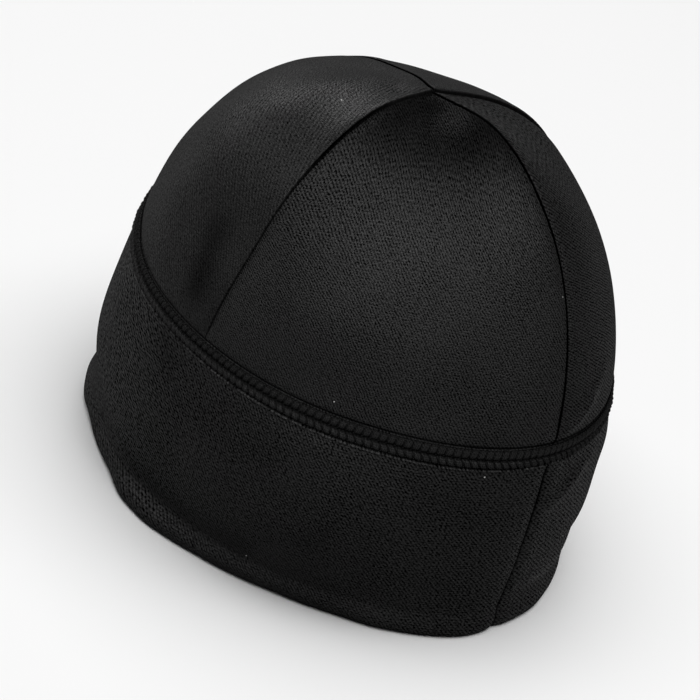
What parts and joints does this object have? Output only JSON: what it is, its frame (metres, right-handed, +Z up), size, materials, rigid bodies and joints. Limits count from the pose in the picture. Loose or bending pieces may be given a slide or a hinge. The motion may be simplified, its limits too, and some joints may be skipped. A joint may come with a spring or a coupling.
{
  "type": "running beanie",
  "caption": "Close-fitting dome-shaped beanie sewn from smooth jersey panels on a deep folded band, with a raised flat seam round it; open below for the head.",
  "frame": {"origin": "on the surface that the hat stands on, under the middle of its outline", "axes": "+Z up from the hem to the apex; -Y to the front of the head; +Y to the back, where the band's seam is; +X to the wearer's left"},
  "size_m": [0.1639, 0.1965, 0.1607],
  "materials": {
    "crown_jersey": "smooth black brushed-back knit jersey, matt",
    "band_jersey": "the same jersey, folded double at the hem",
    "stitching": "black polyester thread in a cover-stitched seam"
  },
  "bodies": {
    "root": {"crown_back_left": "crown_jersey", "crown_front_left": "crown_jersey", "crown_front_right": "crown_jersey", "crown_back_right": "crown_jersey", "lower_band": "band_jersey", "cover_stitch": "stitching"}
  },
  "joints": []
}
